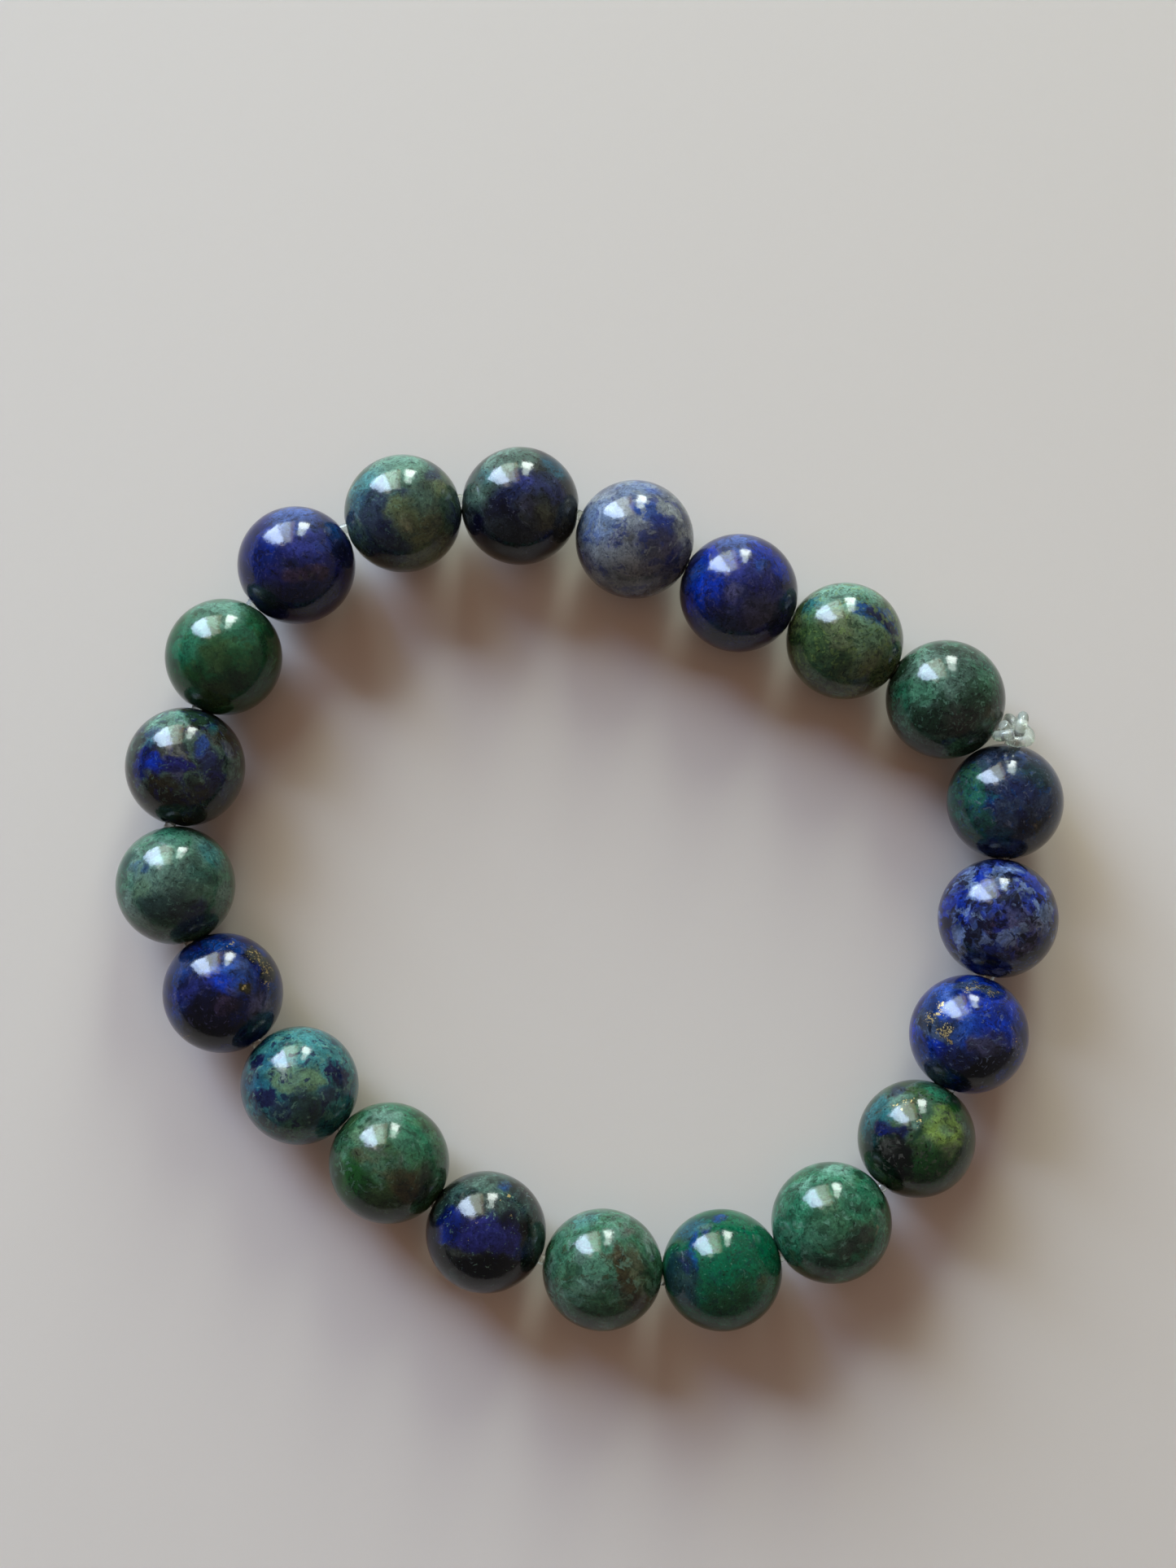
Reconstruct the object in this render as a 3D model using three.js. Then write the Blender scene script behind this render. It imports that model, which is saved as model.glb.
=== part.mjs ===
// Stretch bracelet: 21 drilled and polished round stones threaded on one clear
// elastic, which is tied between two of the stones and trimmed short.
// Millimetres, +Z up. The bracelet lies flat: every stone rests on z = 0, and
// x = y = 0 is the middle of the bracelet's own bounding rectangle.
import * as THREE from "three";

// ---- driving dimensions (mm) ----
// One row per stone, in threading order: centre x, centre y, diameter.
const STONES = [
  [-12.82, 25.2, 7.98],
  [-4.86, 25.74, 8.0],
  [2.92, 23.46, 8.06],
  [9.99, 19.79, 8.04],
  [17.2, 16.53, 7.94],
  [24.02, 12.53, 8.08],
  [28.02, 5.6, 7.86],
  [27.42, -2.31, 8.08],
  [25.36, -10.1, 8.0],
  [21.76, -17.08, 7.88],
  [15.98, -22.63, 8.06],
  [8.63, -25.74, 8.04],
  [0.65, -25.68, 8.04],
  [-7.12, -23.17, 8.04],
  [-13.59, -18.57, 8.04],
  [-19.59, -13.42, 7.88],
  [-24.74, -7.23, 8.02],
  [-27.98, -0.03, 7.96],
  [-27.4, 7.94, 8.02],
  [-24.89, 15.39, 7.88],
  [-20.02, 21.65, 7.96],
];
const BORE_RADIUS = 0.6; // drilled hole
const MOUTH_RADIUS = 0.78; // countersunk edge of the hole
const MOUTH_DEPTH = 0.22; // depth of the countersink below its edge
const CORD_RADIUS = 0.35; // elastic
const CORD_SIDES = 8;
const ROUND_SEGMENTS = 16; // facets around each stone
const PROFILE_EDGES = 7; // facets from one hole to the other
const KNOT_BETWEEN = [5, 6]; // the stones (counted from 0) on each side of the knot

// Centreline of the elastic in the knot, from the first tail's tip to the hole
// of the stone after the knot, and from the hole of the stone before it to the
// second tail's tip. Millimetres from the point midway between those two
// stones' centres: along the line of the centres, outward, up.
const KNOT_IN = [
  [0.22, 2.09, 3.21],
  [0.13, 1.83, 3.18],
  [0.04, 1.59, 3.06],
  [-0.03, 1.41, 2.85],
  [-0.11, 1.33, 2.6],
  [-0.16, 1.34, 2.32],
  [-0.16, 1.45, 2.06],
  [-0.15, 1.6, 1.82],
  [-0.12, 1.77, 1.59],
  [-0.09, 1.98, 1.39],
  [-0.05, 2.2, 1.22],
  [-0.02, 2.44, 1.06],
  [-0.01, 2.71, 0.93],
  [0.03, 3, 0.87],
  [-0.07, 3.28, 0.91],
  [-0.24, 3.47, 1.07],
  [-0.36, 3.59, 1.32],
  [-0.41, 3.63, 1.62],
  [-0.39, 3.58, 1.91],
  [-0.28, 3.45, 2.17],
  [-0.11, 3.26, 2.33],
  [0.09, 3.03, 2.38],
  [0.3, 2.82, 2.31],
  [0.48, 2.65, 2.13],
  [0.62, 2.57, 1.86],
  [0.69, 2.59, 1.55],
  [0.72, 2.64, 1.25],
  [0.75, 2.69, 0.93],
  [0.68, 2.69, 0.62],
  [0.62, 2.56, 0.33],
  [0.74, 2.34, 0.11],
  [0.99, 2.06, -0.06],
];
const KNOT_OUT = [
  [-0.73, 1.85, 0.06],
  [-0.47, 2.13, 0.11],
  [-0.36, 2.41, 0.2],
  [-0.46, 2.67, 0.32],
  [-0.62, 2.85, 0.5],
  [-0.73, 2.92, 0.78],
  [-0.73, 2.89, 1.07],
  [-0.62, 2.87, 1.35],
  [-0.41, 2.87, 1.56],
  [-0.14, 2.91, 1.65],
  [0.1, 3.07, 1.62],
  [0.32, 3.25, 1.63],
  [0.58, 3.33, 1.73],
  [0.81, 3.32, 1.89],
  [0.99, 3.22, 2.09],
  [1.1, 3.07, 2.29],
  [1.13, 2.86, 2.49],
  [1.07, 2.62, 2.62],
  [0.95, 2.37, 2.67],
  [0.81, 2.13, 2.66],
  [0.61, 1.95, 2.57],
  [0.35, 1.95, 2.46],
  [0.1, 2.05, 2.45],
  [-0.17, 2.08, 2.52],
  [-0.42, 2.04, 2.65],
  [-0.63, 1.95, 2.81],
];

// ---- layout ----
const count = STONES.length;
const at = (i) => STONES[(i + count) % count];
const centre = (i) => new THREE.Vector3(at(i)[0], at(i)[1], at(i)[2] / 2);
const radius = (i) => at(i)[2] / 2;

// Each hole points along the mean of the lines to the two neighbours. The two
// stones beside the knot line up with the neighbour on their other side, which
// opens the wedge that the knot sits in.
function holeAxis(i) {
  const flat = (v) => v.setZ(0).normalize();
  const from = flat(centre(i).sub(centre(i - 1)));
  const to = flat(centre(i + 1).sub(centre(i)));
  const stone = (i + count) % count;
  if (stone === KNOT_BETWEEN[0]) return from;
  if (stone === KNOT_BETWEEN[1]) return to;
  return from.add(to).normalize();
}

// ---- one stone ----
// A solid of revolution about its hole: the round outside, a countersink at
// each end and the bore. The facets are laid so that one lies flat underneath.
function stoneGeometry(r) {
  const mouth = Math.asin(MOUTH_RADIUS / r);
  const step = (Math.PI - 2 * mouth) / PROFILE_EDGES;
  const round = 1 / Math.cos(Math.PI / ROUND_SEGMENTS);
  const profile = [];
  for (let k = 0; k <= PROFILE_EDGES; k++) {
    const angle = mouth + k * step;
    const belt = Math.abs(k - PROFILE_EDGES / 2) < 0.6;
    const across = belt ? r : r * Math.sin(angle);
    const along = belt
      ? r * Math.tan(angle - Math.PI / 2)
      : -r * Math.cos(angle);
    profile.push(new THREE.Vector2(across * round, along));
  }
  const end = r * Math.cos(mouth) - MOUTH_DEPTH;
  profile.push(new THREE.Vector2(BORE_RADIUS, end));
  profile.push(new THREE.Vector2(BORE_RADIUS, -end));
  profile.push(profile[0].clone());
  return new THREE.LatheGeometry(
    profile,
    ROUND_SEGMENTS,
    Math.PI / ROUND_SEGMENTS,
  );
}

// ---- the elastic ----
// A run of points with one section at each of them.
class Run extends THREE.Curve {
  constructor(points) {
    super();
    this.points = points;
  }
  getPoint(t) {
    const s = t * (this.points.length - 1);
    const i = Math.min(Math.floor(s + 1e-9), this.points.length - 2);
    return this.points[i].clone().lerp(this.points[i + 1], s - i);
  }
  getPointAt(u) {
    return this.getPoint(u);
  }
  getTangent(t) {
    const i = Math.round(t * (this.points.length - 1));
    const a = this.points[Math.max(i - 1, 0)];
    const b = this.points[i];
    const c = this.points[Math.min(i + 1, this.points.length - 1)];
    const before = b.clone().sub(a).normalize();
    const after = c.clone().sub(b).normalize();
    return before.add(after).normalize();
  }
  getTangentAt(u) {
    return this.getTangent(u);
  }
}

function cordPoints() {
  const [before, after] = KNOT_BETWEEN;
  const a = centre(before);
  const b = centre(after);
  const middle = a.clone().lerp(b, 0.5);
  const along = b.clone().sub(a).setZ(0).normalize();
  const outward = new THREE.Vector3(-along.y, along.x, 0);
  if (outward.dot(middle) < 0) outward.negate();
  const place = ([u, v, w]) =>
    middle
      .clone()
      .addScaledVector(along, u)
      .addScaledVector(outward, v)
      .add(new THREE.Vector3(0, 0, w));
  const points = KNOT_IN.map(place);
  for (let k = 0; k < count; k++) {
    const i = after + k;
    const p = centre(i);
    const axis = holeAxis(i);
    const reach = radius(i) * 0.86;
    points.push(p.clone().addScaledVector(axis, -reach));
    points.push(p.clone().addScaledVector(axis, reach));
    if (k < count - 1) {
      // one more section between two stones, midway between their holes
      const q = centre(i + 1);
      const next = holeAxis(i + 1);
      const here = p.clone().addScaledVector(axis, radius(i) * 0.985);
      const there = q.clone().addScaledVector(next, -radius(i + 1) * 0.985);
      points.push(here.lerp(there, 0.5));
    }
  }
  return [...points, ...KNOT_OUT.map(place)];
}

function cordGeometry() {
  const run = cordPoints();
  const section = new THREE.Shape(
    Array.from({ length: CORD_SIDES }, (_, k) => {
      const turn = (2 * Math.PI * k) / CORD_SIDES;
      return new THREE.Vector2(
        CORD_RADIUS * Math.cos(turn),
        CORD_RADIUS * Math.sin(turn),
      );
    }),
  );
  return new THREE.ExtrudeGeometry(section, {
    steps: run.length - 1,
    bevelEnabled: false,
    extrudePath: new Run(run),
  });
}

// ---- colours of the stones, in threading order ----
const BLUE = { color: 0x1b2370, roughness: 0.12, metalness: 0 };
const NAVY = { color: 0x20283a, roughness: 0.12, metalness: 0 };
const PALE_BLUE = { color: 0x5a6690, roughness: 0.14, metalness: 0 };
const GREEN = { color: 0x2f6149, roughness: 0.12, metalness: 0 };
const TEAL = { color: 0x1e4f55, roughness: 0.12, metalness: 0 };
const OLIVE = { color: 0x4a5c38, roughness: 0.12, metalness: 0 };
const LOOKS = [
  OLIVE, NAVY, PALE_BLUE, BLUE, OLIVE, GREEN, TEAL, PALE_BLUE, BLUE, OLIVE,
  GREEN, TEAL, GREEN, NAVY, GREEN, TEAL, BLUE, GREEN, NAVY, GREEN, BLUE,
];

const bracelet = new THREE.Group();
STONES.forEach((_, i) => {
  const stone = new THREE.Mesh(
    stoneGeometry(radius(i)),
    new THREE.MeshStandardMaterial(LOOKS[i]),
  );
  const axis = holeAxis(i);
  stone.name = "bead_" + String(i + 1).padStart(2, "0");
  stone.position.copy(centre(i));
  stone.rotation.z = Math.atan2(-axis.x, axis.y);
  bracelet.add(stone);
});

const cord = new THREE.Mesh(
  cordGeometry(),
  new THREE.MeshStandardMaterial({
    color: 0xd6dcd4,
    roughness: 0.2,
    metalness: 0,
    transparent: true,
    opacity: 0.5,
  }),
);
cord.name = "elastic_cord";
bracelet.add(cord);

export default bracelet;
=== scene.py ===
"""Stretch bracelet of 21 polished blue and green stone beads on a clear elastic.

The construction comes from the frame: bead places, hole axes, the elastic's
route. This script gives every piece its fine surface and its finish, and lays
the bracelet on a plain pale floor under soft studio light.
"""

import math
import random
from statistics import NormalDist

import bpy
from mathutils import Matrix, Vector


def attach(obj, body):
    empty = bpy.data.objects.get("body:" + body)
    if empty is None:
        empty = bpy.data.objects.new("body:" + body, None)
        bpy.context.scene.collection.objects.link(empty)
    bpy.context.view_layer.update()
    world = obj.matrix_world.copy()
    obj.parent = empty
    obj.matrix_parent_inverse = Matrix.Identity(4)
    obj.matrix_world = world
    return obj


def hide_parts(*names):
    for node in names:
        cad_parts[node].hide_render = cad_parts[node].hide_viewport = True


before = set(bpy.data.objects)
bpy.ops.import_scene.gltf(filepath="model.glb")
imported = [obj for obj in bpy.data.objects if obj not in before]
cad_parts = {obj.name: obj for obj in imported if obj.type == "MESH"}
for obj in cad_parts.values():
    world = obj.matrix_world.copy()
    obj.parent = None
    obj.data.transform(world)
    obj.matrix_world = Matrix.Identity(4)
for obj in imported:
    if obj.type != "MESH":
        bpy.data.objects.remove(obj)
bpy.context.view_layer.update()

MM = 0.001

# ---------------------------------------------------------------------------
# Sizes, the same as the construction's (mm)
# ---------------------------------------------------------------------------
STONES = [
    (-12.82, 25.2, 7.98), (-4.86, 25.74, 8.0), (2.92, 23.46, 8.06), (9.99, 19.79, 8.04),
    (17.2, 16.53, 7.94), (24.02, 12.53, 8.08), (28.02, 5.6, 7.86), (27.42, -2.31, 8.08),
    (25.36, -10.1, 8.0), (21.76, -17.08, 7.88), (15.98, -22.63, 8.06), (8.63, -25.74, 8.04),
    (0.65, -25.68, 8.04), (-7.12, -23.17, 8.04), (-13.59, -18.57, 8.04), (-19.59, -13.42, 7.88),
    (-24.74, -7.23, 8.02), (-27.98, -0.03, 7.96), (-27.4, 7.94, 8.02), (-24.89, 15.39, 7.88),
    (-20.02, 21.65, 7.96),
]
COUNT = len(STONES)
BORE = 0.6
MOUTH = 0.78
MOUTH_DEPTH = 0.22
KNOT_BETWEEN = (5, 6)


def centre(i):
    x, y, d = STONES[i % COUNT]
    return Vector((x, y, d / 2))


def radius(i):
    return STONES[i % COUNT][2] / 2


def hole_axis(i):
    def flat(v):
        return Vector((v.x, v.y, 0)).normalized()

    i %= COUNT
    a = flat(centre(i) - centre(i - 1))
    b = flat(centre(i + 1) - centre(i))
    if i == KNOT_BETWEEN[0]:
        return a
    if i == KNOT_BETWEEN[1]:
        return b
    return (a + b).normalized()


# ---------------------------------------------------------------------------
# Camera: above the ring, at the photograph's viewing angle
# ---------------------------------------------------------------------------
CAMERA = Vector((-3.748, -3.255, 163.151))
TURN = Matrix.Rotation(math.radians(3.610), 4, "X") @ Matrix.Rotation(math.radians(-1.248), 4, "Y")

cam_data = bpy.data.cameras.new("camera")
cam_data.sensor_width = 36.0
cam_data.lens = 54.177
cam_data.clip_start = 0.005
cam_data.clip_end = 10.0
cam = bpy.data.objects.new("camera", cam_data)
cam.matrix_world = Matrix.Translation(CAMERA * MM) @ TURN
bpy.context.scene.collection.objects.link(cam)
bpy.context.scene.camera = cam


def seen(i, x, y):
    """The direction, from a bead's middle, of the surface point that lies x to
    the right and y up of its middle in the picture, in bead radii."""
    out = (CAMERA - centre(i)).normalized()
    right = (TURN.to_3x3() @ Vector((1, 0, 0)))
    right = (right - out * right.dot(out)).normalized()
    up = out.cross(right)
    return (right * x + up * y + out * math.sqrt(max(0.0, 1 - x * x - y * y))).normalized()


# ---------------------------------------------------------------------------
# Node tools
# ---------------------------------------------------------------------------
def srgb(h):
    out = []
    for k in (0, 2, 4):
        c = int(h[k : k + 2], 16) / 255
        out.append(c / 12.92 if c <= 0.04045 else ((c + 0.055) / 1.055) ** 2.4)
    return tuple(out) + (1.0,)


class Tree:
    """A material's node tree with short calls for the nodes used here."""

    def __init__(self, name):
        self.mat = bpy.data.materials.new(name)
        self.mat.use_nodes = True
        self.nt = self.mat.node_tree
        self.nt.nodes.clear()

    def node(self, kind, **props):
        n = self.nt.nodes.new(kind)
        for k, v in props.items():
            setattr(n, k, v)
        return n

    def put(self, sock, value):
        if isinstance(value, bpy.types.NodeSocket):
            self.nt.links.new(value, sock)
        elif value is not None:
            sock.default_value = value

    def math(self, op, a, b=None, c=None, clamp=False):
        n = self.node("ShaderNodeMath", operation=op, use_clamp=clamp)
        for s, v in zip(n.inputs, (a, b, c)):
            self.put(s, v)
        return n.outputs[0]

    def vec(self, op, a, b=None, scale=None):
        n = self.node("ShaderNodeVectorMath", operation=op)
        self.put(n.inputs[0], a)
        if b is not None:
            self.put(n.inputs[1], b)
        if scale is not None:
            self.put(n.inputs["Scale"], scale)
        return n.outputs["Value"] if op in ("LENGTH", "DOT_PRODUCT", "DISTANCE") else n.outputs["Vector"]

    def noise(self, vec, scale, detail=2.0, rough=0.5, distortion=0.0, colour=False):
        n = self.node("ShaderNodeTexNoise", noise_dimensions="3D")
        self.put(n.inputs["Vector"], vec)
        self.put(n.inputs["Scale"], scale)
        self.put(n.inputs["Detail"], detail)
        self.put(n.inputs["Roughness"], rough)
        self.put(n.inputs["Distortion"], distortion)
        return n.outputs["Color" if colour else "Fac"]

    def cells(self, vec, scale, feature="F1", rand=1.0, out="Distance"):
        n = self.node("ShaderNodeTexVoronoi", feature=feature)
        self.put(n.inputs["Vector"], vec)
        self.put(n.inputs["Scale"], scale)
        self.put(n.inputs["Randomness"], rand)
        return n.outputs[out]

    def step(self, x, lo, hi, a=0.0, b=1.0):
        n = self.node("ShaderNodeMapRange", interpolation_type="SMOOTHSTEP", clamp=True)
        for s, v in zip(n.inputs, (x, lo, hi, a, b)):
            self.put(s, v)
        return n.outputs[0]

    def mix(self, fac, a, b, blend="MIX"):
        n = self.node("ShaderNodeMix", data_type="RGBA", blend_type=blend)
        n.clamp_factor = True
        self.put(n.inputs[0], fac)
        self.put(n.inputs[6], a)
        self.put(n.inputs[7], b)
        return n.outputs[2]

    def ramp(self, fac, stops):
        n = self.node("ShaderNodeValToRGB")
        e = n.color_ramp.elements
        while len(e) > 1:
            e.remove(e[-1])
        e[0].position, e[0].color = stops[0]
        for p, c in stops[1:]:
            k = e.new(p)
            k.color = c
        self.put(n.inputs[0], fac)
        return n.outputs[0]


# ---------------------------------------------------------------------------
# The minerals' colours
# ---------------------------------------------------------------------------
MINERAL = {
    "ultramarine": "0a38ba", "royal": "2e5cbc", "cobalt": "344698", "azure": "0c4e94", "sapphire": "0e2472", "violet": "4048a0",
    "indigo": "2a2c72", "dusk": "3c4474", "navy": "222c58", "ink": "12132e", "slate": "40506c", "denim": "5c78c0",
    "pale": "90a6cc", "heather": "50506f", "lilac": "62608a", "fog": "868c9e", "mist": "b0b8bc", "plum": "4c3c58",
    "emerald": "067650", "malachite": "3a8c68", "forest": "286840", "pine": "284832", "jade": "569272", "fern": "4a7a56",
    "turquoise": "54a4a6", "lagoon": "3a868c", "mint": "86bca4", "teal": "2a6c84", "deepteal": "1e464c", "bottle": "2c6458",
    "olive": "7c8a60", "moss": "48663a", "leaf": "245e28", "lime": "96b65a", "sage": "7aa07c", "khaki": "666a4c",
    "greygreen": "587466", "ash": "7ca08e", "spruce": "3a5652", "graphite": "3a444a", "drab": "444840", "black": "0e100e",
    # orange_dot: a small orange dot near the right edge, at nearly the same place on four beads
    "viridian": "2c705c", "marine": "103c80", "umber": "34301e", "brown": "504a30", "stone": "6a6a62", "orange_dot": "c07040", "sand": "a49a80",
}
DEPTH = 0.28  # how much the polish and the binder deepen the raw colours
MINERAL = {k: tuple(DEPTH * c for c in srgb(v)[:3]) + (1.0,) for k, v in MINERAL.items()}
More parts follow.
